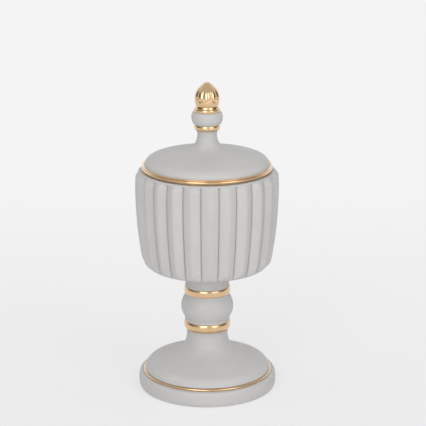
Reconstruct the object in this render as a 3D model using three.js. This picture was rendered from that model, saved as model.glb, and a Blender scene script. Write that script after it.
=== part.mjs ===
// A fluted urn jar on a domed foot, with a lift-off lid and an acorn finial.
// Millimetres, +Z up. The origin lies on the resting plane, on the jar's axis. The front is -Y.
//
// The jar is a stack of turned and cast pieces. A threaded tie rod clamps the foot, the stem and the
// bowl together, and a thinner stud clamps the finial's pieces to the lid.

import * as THREE from "three";

// Round resolution: steps round the axis, and steps along each curved stretch of an outline
const ROUND_STEPS = 48;
const STEM_STEPS = 24;
const HARDWARE_STEPS = 12;
const CURVE_STEPS = 3;

// Clearances
const SPIGOT_CLEARANCE = 0.3; // round a spigot in its socket, and at its end
const BORE_CLEARANCE = 0.5; // round the rod and the stud in the pieces they pass through
const THREAD_CLEARANCE = 0.2; // round the rod and the stud in their nuts, which have plain bores
const BAND_CLEARANCE = 0.15; // inside the gilt ring and the gilt band
const SEAT_GAP = 0.3; // under the lid, which rests on the rim
const FLANGE_CLEARANCE = 1.0; // round the lid's flange in the mouth

// Heights of the stacked pieces, from the resting plane up
const FELT_HEIGHT = 0.6;
const FOOT_HEIGHT = 63.4;
const LOWER_COLLAR_HEIGHT = 9.2;
const KNOP_HEIGHT = 30.4;
const UPPER_COLLAR_HEIGHT = 7.7;
const BOWL_HEIGHT = 126.8;
const LID_HEIGHT = 41.85;
const FINIAL_COLLAR_HEIGHT = 6;
const BEAD_HEIGHT = 13.75;
const ACORN_RING_HEIGHT = 5.6;
const ACORN_HEIGHT = 25.2;

// Foot
const FOOT_RADIUS = 73.3; // widest, at the middle of the rounded rim
const FOOT_RIM_BULGE = 2.2; // how far the rim swells past its top and bottom edges
const FOOT_RIM_HEIGHT = 15.7;
const FOOT_DOME_INSET = 4.5; // the dome's lower edge lies this far inside the rim's edge
const FOOT_DOME_LIP = 1; // the dome's edge overhangs the groove under it by this much
const FOOT_SHOULDER_WIDTH = 7.6; // the rounded edge of the dome
const FOOT_SHOULDER_RISE = 9.3;
const FOOT_SLOPE = THREE.MathUtils.degToRad(20.6);
const FOOT_FILLET_RADIUS = 37.5; // where the slope starts to sweep up into the neck
const FOOT_NECK_FOOT_RADIUS = 23;
const FOOT_NECK_FOOT_DROP = 14.4; // from the top of the neck down to where the sweep ends
const FOOT_NECK_WAIST_RADIUS = 21.6;
const FOOT_NECK_WAIST_DROP = 5.8;
const FOOT_LIP_RADIUS = 23.2; // the plain lip under the lower collar
const FOOT_LIP_HEIGHT = 1.2;
const FOOT_WALL = 7.5;
const FOOT_SEAT_HEIGHT = 31.2; // the inner flat that takes the rod's lower washer
const FELT_WIDTH = 9;
const FELT_SETBACK = 3.6; // the felt's edge lies this far inside the rim's lower edge
const GILT_RING_HEIGHT = 2.6;
const GILT_RING_WIDTH = 2.6;
const GILT_RING_GAP = 0.5; // groove between the gilt ring and the dome's edge

// Stem
const LOWER_COLLAR_FOOT_RADIUS = 23.5;
const LOWER_COLLAR_RADIUS = 24.9;
const LOWER_COLLAR_TOP_RADIUS = 23.7;
const KNOP_FOOT_RADIUS = 23.6;
const KNOP_RADIUS = 27.7;
const KNOP_WIDEST_HEIGHT = 16.2;
const KNOP_TOP_RADIUS = 23.9;
const KNOP_LIP_HEIGHT = 2.1; // the plain lip at each end of the knop
const UPPER_COLLAR_RADIUS = 24.7;
const UPPER_COLLAR_END_RADIUS = 23.6;
const SPIGOT_RADIUS = 12;
const SPIGOT_LENGTH = 4;

// Bowl
const BOWL_RADIUS = 75.3; // over the ridges, at the fullest height
const BOWL_FOOT_RADIUS = 23.5; // where it stands on the upper collar
const BOWL_WAIST_RADIUS = 22.8;
const BOWL_NECK_HEIGHT = 14.8;
const BOWL_UNDERSIDE_RADIUS = 25.5; // where the neck meets the underside
const BOWL_UNDERSIDE_RISE = 6.1;
const BOWL_TURN_INSET = 6.3; // the top of the turn from underside to side, inside the fullest radius
const BOWL_TURN_WIDTH = 12.2;
const BOWL_TURN_HEIGHT = 11.4;
const BOWL_FULLEST_DROP = 17.8; // from the rim down to the fullest height
const BOWL_SHOULDER_HEIGHT = 7.8;
const BOWL_SHOULDER_INSET = 5.6; // the rim's edge, inside the fullest radius
const BOWL_RIM_WIDTH = 7.6;
const BOWL_FLOOR = 12.5; // thickness over the neck
const BOWL_WALL = 6; // least thickness under the valleys, above the turn
const BOWL_FLOOR_FILLET = 11;

// Flutes: straight-sided ridges with crisp valleys between them
const FLUTE_COUNT = 24;
const FLUTE_DEPTH = 4;
const FLUTE_TURN = THREE.MathUtils.degToRad(2.5); // the ridge nearest the front lies this far to its right
const FLUTE_TOP_DROP = 3.5; // full depth starts this far under the rim
const FLUTE_TOP_FADE = 3; // and fades out over this height above
const FLUTE_UNDER_LIFT = 2; // the flutes start this far above the turn's lower edge
const FLUTE_UNDER_FADE = 7; // and reach full depth over this height

// Lid
const LID_SETBACK = 1.3; // the band's edge lies this far inside the rim's edge
const LID_BAND_HEIGHT = 5.2;
const LID_BAND_WIDTH = 3.2;
const LID_EDGE_HEIGHT = 5.4;
const LID_SHOULDER_WIDTH = 5.6;
const LID_SHOULDER_RISE = 7.2;
const LID_SLOPE = THREE.MathUtils.degToRad(24); // of the dome, where it leaves the shoulder
const LID_ROOF_SLOPE = THREE.MathUtils.degToRad(13.4); // of the underside
const LID_TURN_RADIUS = 53.5; // where the dome's slope eases off towards the crown
const LID_CROWN_RADIUS = 30; // where the crown starts to sweep up into the neck
const LID_CROWN_RISE = 6.8; // from the start of the slope to the edge of the crown
const LID_NECK_WAIST_RADIUS = 10.2;
const LID_NECK_WAIST_DROP = 5.8;
const LID_NECK_TOP_RADIUS = 11.3;
const LID_WALL = 6;
const LID_SEAT_HEIGHT = 13.5; // the inner flat that takes the stud's washer
const LID_FLANGE_DEPTH = 11;
const LID_FLANGE_WIDTH = 5;

// Finial
const FINIAL_COLLAR_FOOT_RADIUS = 11.3;
const FINIAL_COLLAR_RADIUS = 13.6;
const FINIAL_COLLAR_TOP_RADIUS = 12.8;
const BEAD_RADIUS = 16.3;
const BEAD_FOOT_RADIUS = 13;
const BEAD_TOP_RADIUS = 13.3;
const ACORN_RING_FOOT_RADIUS = 13.3;
const ACORN_RING_RADIUS = 13.8;
const ACORN_RING_TOP_RADIUS = 12.5;
const ACORN_RADIUS = 13.2;
const ACORN_FOOT_RADIUS = 12.5;
const ACORN_WIDEST_HEIGHT = 6.5;
const ACORN_CAP_RADIUS = 4.2; // the blunt end at the top
const ACORN_CAP_HEIGHT = 1.7;
const ACORN_LOBES = 10;
const ACORN_LOBE_DEPTH = 0.9;
const ACORN_CUP_HEIGHT = 5; // plain foot below the lobes
const FINIAL_SPIGOT_RADIUS = 6;
const FINIAL_SPIGOT_LENGTH = 2;

// Tie rod and stud with their nuts, washers and gaskets
const ROD_RADIUS = 3;
const ROD_PROUD = 2.4; // past each nut
const ROD_NUT = { acrossFlats: 10, height: 5 };
const ROD_WASHER = { radius: 12, height: 1.6 };
const ROD_GASKET = { radius: 14, height: 1.5 };
const STUD_RADIUS = 2;
const STUD_PROUD = 1.6;
const STUD_GRIP = 12; // length inside the acorn
const STUD_NUT = { acrossFlats: 7, height: 3.2 };
const STUD_WASHER = { radius: 7.5, height: 1 };
const STUD_GASKET = { radius: 9, height: 1.2 };
const END_CHAMFER = 0.5;

// Levels of the stack
const footLevel = FELT_HEIGHT;
const lowerCollarLevel = footLevel + FOOT_HEIGHT;
const knopLevel = lowerCollarLevel + LOWER_COLLAR_HEIGHT;
const upperCollarLevel = knopLevel + KNOP_HEIGHT;
const bowlLevel = upperCollarLevel + UPPER_COLLAR_HEIGHT;
const lidLevel = bowlLevel + BOWL_HEIGHT + SEAT_GAP;
const finialCollarLevel = lidLevel + LID_HEIGHT;
const beadLevel = finialCollarLevel + FINIAL_COLLAR_HEIGHT;
const acornRingLevel = beadLevel + BEAD_HEIGHT;
const acornLevel = acornRingLevel + ACORN_RING_HEIGHT;

// Radii and heights that several pieces share
const rodBore = ROD_RADIUS + BORE_CLEARANCE;
const studBore = STUD_RADIUS + BORE_CLEARANCE;
const footRimEdge = FOOT_RADIUS - FOOT_RIM_BULGE;
const footDomeEdge = footRimEdge - FOOT_DOME_INSET;
const footGrooveRadius = footDomeEdge - FOOT_DOME_LIP;
const bowlRimRadius = BOWL_RADIUS - BOWL_SHOULDER_INSET;
const mouthRadius = bowlRimRadius - BOWL_RIM_WIDTH;
const bowlFloorHeight = BOWL_NECK_HEIGHT + BOWL_FLOOR;
const lidBandRadius = bowlRimRadius - LID_SETBACK;
const lidEdgeRadius = lidBandRadius - LID_BAND_WIDTH;

// Finishes
const grey = { color: 0xc9c6c3, roughness: 0.55, metalness: 0 };
const gilt = { color: 0xd9b97a, roughness: 0.25, metalness: 1 };
const steel = { color: 0xb4b6b8, roughness: 0.4, metalness: 1 };
const rubber = { color: 0x2b2b2b, roughness: 0.8, metalness: 0 };
const felt = { color: 0x4a4744, roughness: 0.95, metalness: 0 };

// The outline's points, run so that its left side is the outside of the solid
function outlinePoints(path) {
  const points = path.getPoints(CURVE_STEPS);
  if (THREE.ShapeUtils.area(points) < 0) {
    points.reverse();
  }
  return points;
}

// A solid turned about Z from an outline of radius and height, closed on itself or ending on the axis
function turned(path, steps = ROUND_STEPS) {
  const points = outlinePoints(path);
  const geometry = new THREE.LatheGeometry(points, steps);
  return geometry.rotateX(Math.PI / 2);
}

// A turned solid whose surface is sunk towards the axis by sunkAt(point, step) at each step round.
// The outline must not need reversing: it runs up the outside, and down the inside.
function turnedWithRelief(points, steps, turn, sunkAt) {
  const positions = [];
  points.forEach((point) => {
    for (let step = 0; step < steps; step += 1) {
      const angle = turn + (step / steps) * 2 * Math.PI;
      const radius = point.x - sunkAt(point, step);
      positions.push(radius * Math.cos(angle), radius * Math.sin(angle), point.y);
    }
  });
  const triangles = [];
  for (let ring = 0; ring < points.length - 1; ring += 1) {
    for (let step = 0; step < steps; step += 1) {
      const low = ring * steps + step;
      const lowNext = ring * steps + ((step + 1) % steps);
      const high = low + steps;
      const highNext = lowNext + steps;
      triangles.push(low, lowNext, highNext, low, highNext, high);
    }
  }
  const geometry = new THREE.BufferGeometry();
  geometry.setAttribute("position", new THREE.Float32BufferAttribute(positions, 3));
  geometry.setIndex(triangles);
  geometry.computeVertexNormals();
  return geometry;
}

// A flat ring, such as a washer
function flatRing(innerRadius, outerRadius, height, steps) {
  const outline = new THREE.Path();
  outline.moveTo(innerRadius, 0);
  outline.lineTo(outerRadius, 0);
  outline.lineTo(outerRadius, height);
  outline.lineTo(innerRadius, height);
  outline.closePath();
  return turned(outline, steps);
}

// A round bar with chamfered ends, standing on its lower end
function bar(radius, length) {
  const outline = new THREE.Path();
  outline.moveTo(0, 0);
  outline.lineTo(radius - END_CHAMFER, 0);
  outline.lineTo(radius, END_CHAMFER);
  outline.lineTo(radius, length - END_CHAMFER);
  outline.lineTo(radius - END_CHAMFER, length);
  outline.lineTo(0, length);
  return turned(outline, HARDWARE_STEPS);
}

// A hexagon nut with a plain bore
function hexNut(nut, boreRadius) {
  const cornerRadius = nut.acrossFlats / 2 / Math.cos(Math.PI / 6);
  const outline = new THREE.Shape();
  for (let corner = 0; corner < 6; corner += 1) {
    const angle = (corner / 6) * 2 * Math.PI;
    const place = [cornerRadius * Math.cos(angle), cornerRadius * Math.sin(angle)];
    if (corner === 0) {
      outline.moveTo(...place);
    } else {
      outline.lineTo(...place);
    }
  }
  outline.closePath();
  const bore = new THREE.Path();
  bore.absarc(0, 0, boreRadius, 0, 2 * Math.PI, true);
  outline.holes.push(bore);
  const options = { depth: nut.height, bevelEnabled: false, curveSegments: HARDWARE_STEPS };
  return new THREE.ExtrudeGeometry(outline, options);
}

// The felt ring glued under the foot's rim
function makeFeltRing() {
  const outerRadius = footRimEdge - FELT_SETBACK;
  return flatRing(outerRadius - FELT_WIDTH, outerRadius, FELT_HEIGHT, ROUND_STEPS);
}

// The foot: a rounded rim, a groove for the gilt ring, and a dome that sweeps up into a lipped neck.
// It is a hollow shell, open below, with a thick crown that the rod clamps.
function makeFoot() {
  const domeBase = FOOT_RIM_HEIGHT + GILT_RING_HEIGHT + GILT_RING_GAP;
  const slopeStart = footDomeEdge - FOOT_SHOULDER_WIDTH;
  const slopeBase = domeBase + FOOT_SHOULDER_RISE;
  const slopeRise = (radius) => (slopeStart - radius) * Math.tan(FOOT_SLOPE);
  const filletBase = slopeBase + slopeRise(FOOT_FILLET_RADIUS);
  const neckFoot = FOOT_HEIGHT - FOOT_NECK_FOOT_DROP;
  const neckWaist = FOOT_HEIGHT - FOOT_NECK_WAIST_DROP;
  const lipBase = FOOT_HEIGHT - FOOT_LIP_HEIGHT;
  const cornerRadius = FOOT_NECK_FOOT_RADIUS + 2.5;
  const innerRadius = footGrooveRadius - FOOT_WALL;
  const wallDrop = FOOT_WALL / Math.cos(FOOT_SLOPE);
  const roofAt = (radius) => slopeBase + slopeRise(radius) - wallDrop;
  const seatRadius = slopeStart - (FOOT_SEAT_HEIGHT + wallDrop - slopeBase) / Math.tan(FOOT_SLOPE);
  const outline = new THREE.Path();
  outline.moveTo(innerRadius, 0);
  outline.lineTo(footRimEdge, 0);
  outline.absellipse(
    footRimEdge,
    FOOT_RIM_HEIGHT / 2,
    FOOT_RIM_BULGE,
    FOOT_RIM_HEIGHT / 2,
    -Math.PI / 2,
    Math.PI / 2,
  );
  outline.lineTo(footGrooveRadius, FOOT_RIM_HEIGHT);
  outline.lineTo(footGrooveRadius, domeBase);
  outline.lineTo(footDomeEdge, domeBase);
  outline.quadraticCurveTo(
    footDomeEdge - 1.6,
    slopeBase - 2.1,
    slopeStart,
    slopeBase,
  );
  outline.lineTo(FOOT_FILLET_RADIUS, filletBase);
  outline.quadraticCurveTo(
    cornerRadius,
    slopeBase + slopeRise(cornerRadius),
    FOOT_NECK_FOOT_RADIUS,
    neckFoot,
  );
  outline.quadraticCurveTo(
    FOOT_NECK_WAIST_RADIUS,
    THREE.MathUtils.lerp(neckFoot, neckWaist, 0.67),
    FOOT_NECK_WAIST_RADIUS,
    neckWaist,
  );
  outline.quadraticCurveTo(
    FOOT_NECK_WAIST_RADIUS,
    THREE.MathUtils.lerp(neckWaist, lipBase, 0.59),
    FOOT_LIP_RADIUS,
    lipBase,
  );
  outline.lineTo(FOOT_LIP_RADIUS, FOOT_HEIGHT);
  addSocketAbove(outline, SPIGOT_RADIUS, SPIGOT_LENGTH, FOOT_HEIGHT);
  outline.lineTo(rodBore, FOOT_HEIGHT - SPIGOT_LENGTH - SPIGOT_CLEARANCE);
  outline.lineTo(rodBore, FOOT_SEAT_HEIGHT);
  outline.lineTo(seatRadius, FOOT_SEAT_HEIGHT);
  outline.lineTo(innerRadius - 4, roofAt(innerRadius - 4));
  outline.quadraticCurveTo(innerRadius, roofAt(innerRadius), innerRadius, roofAt(innerRadius) - 4);
  outline.closePath();
  return turned(outline);
}

// The half-round gilt ring that lies on the foot's rim, in the groove under the dome
function makeFootGiltRing() {
  return halfRoundRing(
    footGrooveRadius + BAND_CLEARANCE,
    footGrooveRadius + BAND_CLEARANCE + GILT_RING_WIDTH,
    GILT_RING_HEIGHT,
  );
}

// A ring with a flat inside and a rounded outside
function halfRoundRing(innerRadius, outerRadius, height) {
  const swell = Math.min(height / 2, outerRadius - innerRadius - 0.4);
  const outline = new THREE.Path();
  outline.moveTo(innerRadius, 0);
  outline.lineTo(outerRadius - swell, 0);
  outline.absellipse(outerRadius - swell, height / 2, swell, height / 2, -Math.PI / 2, Math.PI / 2);
  outline.lineTo(innerRadius, height);
  outline.closePath();
  return turned(outline);
}

// Runs an outline down its outside edge into a socket that opens upwards at the given height
function addSocketAbove(outline, spigotRadius, spigotLength, height) {
  const socketRadius = spigotRadius + SPIGOT_CLEARANCE;
  outline.lineTo(socketRadius, height);
  outline.lineTo(socketRadius, height - spigotLength - SPIGOT_CLEARANCE);
}

// Starts an outline at a bore, runs it round a socket that opens downwards, and on to the outer edge
function startWithSocketBelow(outline, boreRadius, spigotRadius, spigotLength, edgeRadius) {
  const socketRadius = spigotRadius + SPIGOT_CLEARANCE;
  const socketTop = spigotLength + SPIGOT_CLEARANCE;
  outline.moveTo(boreRadius, socketTop);
  outline.lineTo(socketRadius, socketTop);
  outline.lineTo(socketRadius, 0);
  outline.lineTo(edgeRadius, 0);
}

// Starts an outline at the foot of a spigot that points down, and runs it to the outer edge
function startWithSpigotBelow(outline, boreRadius, spigotRadius, spigotLength, edgeRadius) {
  outline.moveTo(boreRadius, -spigotLength);
  outline.lineTo(spigotRadius, -spigotLength);
  outline.lineTo(spigotRadius, 0);
  outline.lineTo(edgeRadius, 0);
}

// Ends an outline with a spigot that points up, and closes it down the bore
function endWithSpigotAbove(outline, boreRadius, spigotRadius, spigotLength, height) {
  outline.lineTo(spigotRadius, height);
  outline.lineTo(spigotRadius, height + spigotLength);
  outline.lineTo(boreRadius, height + spigotLength);
  outline.closePath();
}

// The gilt collar under the knop, fullest at the middle of its height
function makeLowerCollar() {
  const fullest = LOWER_COLLAR_HEIGHT / 2;
  const outline = new THREE.Path();
  startWithSpigotBelow(outline, rodBore, SPIGOT_RADIUS, SPIGOT_LENGTH, LOWER_COLLAR_FOOT_RADIUS);
  outline.quadraticCurveTo(
    LOWER_COLLAR_RADIUS - 0.4,
    fullest * 0.36,
    LOWER_COLLAR_RADIUS,
    fullest,
  );
  outline.quadraticCurveTo(
    LOWER_COLLAR_RADIUS,
    LOWER_COLLAR_HEIGHT - 1.2,
    LOWER_COLLAR_TOP_RADIUS,
    LOWER_COLLAR_HEIGHT,
  );
  endWithSpigotAbove(outline, rodBore, SPIGOT_RADIUS, SPIGOT_LENGTH, LOWER_COLLAR_HEIGHT);
  return turned(outline, STEM_STEPS);
}

// The swelling grey knop of the stem, with a plain lip and a socket at each end
function makeKnop() {
  const swell = KNOP_RADIUS - KNOP_FOOT_RADIUS;
  const topLip = KNOP_HEIGHT - KNOP_LIP_HEIGHT;
  const outline = new THREE.Path();
  startWithSocketBelow(outline, rodBore, SPIGOT_RADIUS, SPIGOT_LENGTH, KNOP_FOOT_RADIUS);
  outline.lineTo(KNOP_FOOT_RADIUS, KNOP_LIP_HEIGHT);
  outline.bezierCurveTo(
    KNOP_FOOT_RADIUS + swell * 0.25,
    THREE.MathUtils.lerp(KNOP_LIP_HEIGHT, KNOP_WIDEST_HEIGHT, 0.22),
    KNOP_RADIUS,
    THREE.MathUtils.lerp(KNOP_LIP_HEIGHT, KNOP_WIDEST_HEIGHT, 0.52),
    KNOP_RADIUS,
    KNOP_WIDEST_HEIGHT,
  );
  outline.bezierCurveTo(
    KNOP_RADIUS,
    THREE.MathUtils.lerp(KNOP_WIDEST_HEIGHT, topLip, 0.31),
    KNOP_TOP_RADIUS + swell * 0.46,
    THREE.MathUtils.lerp(KNOP_WIDEST_HEIGHT, topLip, 0.73),
    KNOP_TOP_RADIUS,
    topLip,
  );
  outline.lineTo(KNOP_TOP_RADIUS, KNOP_HEIGHT);
  addSocketAbove(outline, SPIGOT_RADIUS, SPIGOT_LENGTH, KNOP_HEIGHT);
  outline.lineTo(rodBore, KNOP_HEIGHT - SPIGOT_LENGTH - SPIGOT_CLEARANCE);
  outline.closePath();
  return turned(outline, STEM_STEPS);
}

// The round gilt collar that carries the bowl
function makeUpperCollar() {
  const swell = UPPER_COLLAR_RADIUS - UPPER_COLLAR_END_RADIUS;
  const middle = UPPER_COLLAR_HEIGHT / 2;
  const outline = new THREE.Path();
  startWithSpigotBelow(outline, rodBore, SPIGOT_RADIUS, SPIGOT_LENGTH, UPPER_COLLAR_END_RADIUS);
  outline.absellipse(UPPER_COLLAR_END_RADIUS, middle, swell, middle, -Math.PI / 2, Math.PI / 2);
  endWithSpigotAbove(outline, rodBore, SPIGOT_RADIUS, SPIGOT_LENGTH, UPPER_COLLAR_HEIGHT);
  return turned(outline, STEM_STEPS);
}

// How deep the valleys are at a height of the bowl's outside
function fluteDepthAt(height) {
  const topStart = BOWL_HEIGHT - FLUTE_TOP_DROP;
  const underStart = BOWL_NECK_HEIGHT + BOWL_UNDERSIDE_RISE + FLUTE_UNDER_LIFT;
  const topFade = 1 - THREE.MathUtils.smoothstep(height, topStart, topStart + FLUTE_TOP_FADE);
  const underFade = THREE.MathUtils.smoothstep(height, underStart, underStart + FLUTE_UNDER_FADE);
  return FLUTE_DEPTH * topFade * underFade;
}

// The outside of the bowl, from the foot of its neck to the edge of its rim
function bowlOutside() {
  const turnRadius = BOWL_RADIUS - BOWL_TURN_INSET;
  const turnStart = turnRadius - BOWL_TURN_WIDTH;
  const turnBase = BOWL_NECK_HEIGHT + BOWL_UNDERSIDE_RISE;
  const turnTop = turnBase + BOWL_TURN_HEIGHT;
  const fullest = BOWL_HEIGHT - BOWL_FULLEST_DROP;
  const shoulderBase = BOWL_HEIGHT - BOWL_SHOULDER_HEIGHT;
  const sideRise = fullest - turnTop;
  const neckMiddle = BOWL_NECK_HEIGHT * 0.55;
  const outline = new THREE.Path();
  outline.moveTo(BOWL_FOOT_RADIUS, 0);
  outline.quadraticCurveTo(BOWL_WAIST_RADIUS, BOWL_NECK_HEIGHT * 0.25, BOWL_WAIST_RADIUS, neckMiddle);
  outline.quadraticCurveTo(
    BOWL_WAIST_RADIUS,
    BOWL_NECK_HEIGHT * 0.93,
    BOWL_UNDERSIDE_RADIUS,
    BOWL_NECK_HEIGHT,
  );
  outline.quadraticCurveTo(
    (BOWL_UNDERSIDE_RADIUS + turnStart) / 2,
    BOWL_NECK_HEIGHT + BOWL_UNDERSIDE_RISE * 0.42,
    turnStart,
    turnBase,
  );
  outline.quadraticCurveTo(
    turnRadius - BOWL_TURN_WIDTH * 0.2,
    turnBase + BOWL_TURN_HEIGHT * 0.18,
    turnRadius,
    turnTop,
  );
  outline.bezierCurveTo(
    turnRadius + BOWL_TURN_INSET * 0.29,
    turnTop + sideRise * 0.13,
    BOWL_RADIUS,
    turnTop + sideRise * 0.49,
    BOWL_RADIUS,
    fullest,
  );
  outline.quadraticCurveTo(BOWL_RADIUS, (fullest + shoulderBase) / 2, BOWL_RADIUS - 0.4, shoulderBase);
  outline.quadraticCurveTo(BOWL_RADIUS - 0.7, BOWL_HEIGHT - 3, bowlRimRadius, BOWL_HEIGHT);
  return outline;
}

// The inside of the bowl, from the rim down to the floor, the rod's bore and the neck's socket
function bowlInside() {
  const rimEase = 0.8;
  const innerFootRadius = BOWL_RADIUS - BOWL_TURN_INSET - FLUTE_DEPTH - BOWL_WALL;
  const filletTop = bowlFloorHeight + BOWL_FLOOR_FILLET;
  const fullest = BOWL_HEIGHT - BOWL_FULLEST_DROP;
  const outline = new THREE.Path();
  outline.moveTo(mouthRadius + rimEase, BOWL_HEIGHT);
  outline.lineTo(mouthRadius, BOWL_HEIGHT - rimEase);
  outline.lineTo(mouthRadius, fullest);
  outline.bezierCurveTo(
    mouthRadius,
    THREE.MathUtils.lerp(filletTop, fullest, 0.5),
    innerFootRadius + 0.6,
    THREE.MathUtils.lerp(filletTop, fullest, 0.15),
    innerFootRadius,
    filletTop,
  );
  outline.quadraticCurveTo(
    innerFootRadius - 0.6,
    bowlFloorHeight,
    innerFootRadius - BOWL_FLOOR_FILLET,
    bowlFloorHeight,
  );
  outline.lineTo(rodBore, bowlFloorHeight);
  outline.lineTo(rodBore, SPIGOT_LENGTH + SPIGOT_CLEARANCE);
  outline.lineTo(SPIGOT_RADIUS + SPIGOT_CLEARANCE, SPIGOT_LENGTH + SPIGOT_CLEARANCE);
  outline.lineTo(SPIGOT_RADIUS + SPIGOT_CLEARANCE, 0);
  return outline;
}

// The bowl with its neck: ridges outside, smooth inside
function makeBowl() {
  const outside = bowlOutside().getPoints(CURVE_STEPS);
  const inside = bowlInside().getPoints(CURVE_STEPS);
  const points = [...outside, ...inside, outside[0]];
  const steps = 2 * FLUTE_COUNT;
  const turn = FLUTE_TURN - Math.PI / 2;
  return turnedWithRelief(points, steps, turn, (point, step) => {
    const inValley = step % 2 === 1 && outside.includes(point);
    return inValley ? fluteDepthAt(point.y) : 0;
  });
}

// The domed lid: a shell with a neck for the finial, and a flange that drops into the mouth.
// Its height is counted from the face that rests on the rim.
function makeLid() {
  const flangeRadius = mouthRadius - FLANGE_CLEARANCE;
  const flangeInner = flangeRadius - LID_FLANGE_WIDTH;
  const slopeStart = lidEdgeRadius - LID_SHOULDER_WIDTH;
  const slopeBase = LID_EDGE_HEIGHT + LID_SHOULDER_RISE;
  const slopeRise = (radius) => (slopeStart - radius) * Math.tan(LID_SLOPE);
  const crownHeight = slopeBase + LID_CROWN_RISE;
  const waistHeight = LID_HEIGHT - LID_NECK_WAIST_DROP;
  const wallDrop = LID_WALL / Math.cos(LID_ROOF_SLOPE);
  const roofEdge = slopeBase - wallDrop;
  const roofAt = (radius) => roofEdge + (slopeStart - radius) * Math.tan(LID_ROOF_SLOPE);
  const seatRadius = slopeStart - (LID_SEAT_HEIGHT - roofEdge) / Math.tan(LID_ROOF_SLOPE);
  const outline = new THREE.Path();
  outline.moveTo(flangeInner, -LID_FLANGE_DEPTH);
  outline.lineTo(flangeRadius - 1, -LID_FLANGE_DEPTH);
  outline.lineTo(flangeRadius, 1 - LID_FLANGE_DEPTH);
  outline.lineTo(flangeRadius, 0);
  outline.lineTo(lidEdgeRadius, 0);
  outline.lineTo(lidEdgeRadius, LID_EDGE_HEIGHT);
  outline.quadraticCurveTo(
    lidEdgeRadius - LID_SHOULDER_WIDTH * 0.23,
    LID_EDGE_HEIGHT + LID_SHOULDER_RISE * 0.73,
    slopeStart,
    slopeBase,
  );
  outline.quadraticCurveTo(
    LID_TURN_RADIUS,
    slopeBase + slopeRise(LID_TURN_RADIUS),
    LID_CROWN_RADIUS,
    crownHeight,
  );
  outline.bezierCurveTo(
    LID_CROWN_RADIUS * 0.67,
    crownHeight + 1.9,
    LID_NECK_WAIST_RADIUS + 0.9,
    waistHeight - 12,
    LID_NECK_WAIST_RADIUS,
    waistHeight,
  );
  outline.quadraticCurveTo(
    LID_NECK_WAIST_RADIUS,
    LID_HEIGHT - 2,
    LID_NECK_TOP_RADIUS,
    LID_HEIGHT,
  );
  addSocketAbove(outline, FINIAL_SPIGOT_RADIUS, FINIAL_SPIGOT_LENGTH, LID_HEIGHT);
  outline.lineTo(studBore, LID_HEIGHT - FINIAL_SPIGOT_LENGTH - SPIGOT_CLEARANCE);
  outline.lineTo(studBore, LID_SEAT_HEIGHT);
  outline.lineTo(seatRadius, LID_SEAT_HEIGHT);
  outline.lineTo(flangeInner - 4, roofAt(flangeInner - 4));
  outline.quadraticCurveTo(flangeInner, roofAt(flangeInner), flangeInner, roofAt(flangeInner) - 5);
  outline.closePath();
  return turned(outline);
}

// The gilt band round the lid's edge
function makeLidGiltBand() {
  return halfRoundRing(lidEdgeRadius + BAND_CLEARANCE, lidBandRadius, LID_BAND_HEIGHT);
}

// The gilt collar on the lid's neck: it flares from the neck, and turns in under the bead
function makeFinialCollar() {
  const fullest = FINIAL_COLLAR_HEIGHT * 0.55;
  const outline = new THREE.Path();
  startWithSpigotBelow(
    outline,
    studBore,
    FINIAL_SPIGOT_RADIUS,
    FINIAL_SPIGOT_LENGTH,
    FINIAL_COLLAR_FOOT_RADIUS,
  );
  outline.quadraticCurveTo(FINIAL_COLLAR_RADIUS, 0.6, FINIAL_COLLAR_RADIUS, fullest);
  outline.quadraticCurveTo(
    FINIAL_COLLAR_RADIUS,
    FINIAL_COLLAR_HEIGHT - 0.5,
    FINIAL_COLLAR_TOP_RADIUS,
    FINIAL_COLLAR_HEIGHT,
  );
  endWithSpigotAbove(
    outline,
    studBore,
    FINIAL_SPIGOT_RADIUS,
    FINIAL_SPIGOT_LENGTH,
    FINIAL_COLLAR_HEIGHT,
  );
  return turned(outline, STEM_STEPS);
}

// The grey bead of the finial, with a socket in each end
function makeFinialBead() {
  const middle = BEAD_HEIGHT * 0.53;
  const outline = new THREE.Path();
  startWithSocketBelow(
    outline,
    studBore,
    FINIAL_SPIGOT_RADIUS,
    FINIAL_SPIGOT_LENGTH,
    BEAD_FOOT_RADIUS,
  );
  outline.bezierCurveTo(
    BEAD_FOOT_RADIUS + 1.8,
    middle * 0.12,
    BEAD_RADIUS,
    middle * 0.5,
    BEAD_RADIUS,
    middle,
  );
  outline.bezierCurveTo(
    BEAD_RADIUS,
    THREE.MathUtils.lerp(middle, BEAD_HEIGHT, 0.6),
    BEAD_TOP_RADIUS + 1.8,
    BEAD_HEIGHT,
    BEAD_TOP_RADIUS,
    BEAD_HEIGHT,
  );
  addSocketAbove(outline, FINIAL_SPIGOT_RADIUS, FINIAL_SPIGOT_LENGTH, BEAD_HEIGHT);
  outline.lineTo(studBore, BEAD_HEIGHT - FINIAL_SPIGOT_LENGTH - SPIGOT_CLEARANCE);
  outline.closePath();
  return turned(outline, STEM_STEPS);
}

// The flared gilt ring under the acorn
function makeAcornRing() {
  const lipHeight = ACORN_RING_HEIGHT * 0.6;
  const outline = new THREE.Path();
  startWithSpigotBelow(
    outline,
    studBore,
    FINIAL_SPIGOT_RADIUS,
    FINIAL_SPIGOT_LENGTH,
    ACORN_RING_FOOT_RADIUS,
  );
  outline.quadraticCurveTo(ACORN_RING_RADIUS, 0, ACORN_RING_RADIUS, lipHeight / 2);
  outline.quadraticCurveTo(ACORN_RING_RADIUS, lipHeight, ACORN_RING_RADIUS - 0.9, lipHeight);
  outline.lineTo(ACORN_RING_TOP_RADIUS, ACORN_RING_HEIGHT);
  outline.lineTo(studBore, ACORN_RING_HEIGHT);
  outline.closePath();
  return turned(outline, STEM_STEPS);
}

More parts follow.
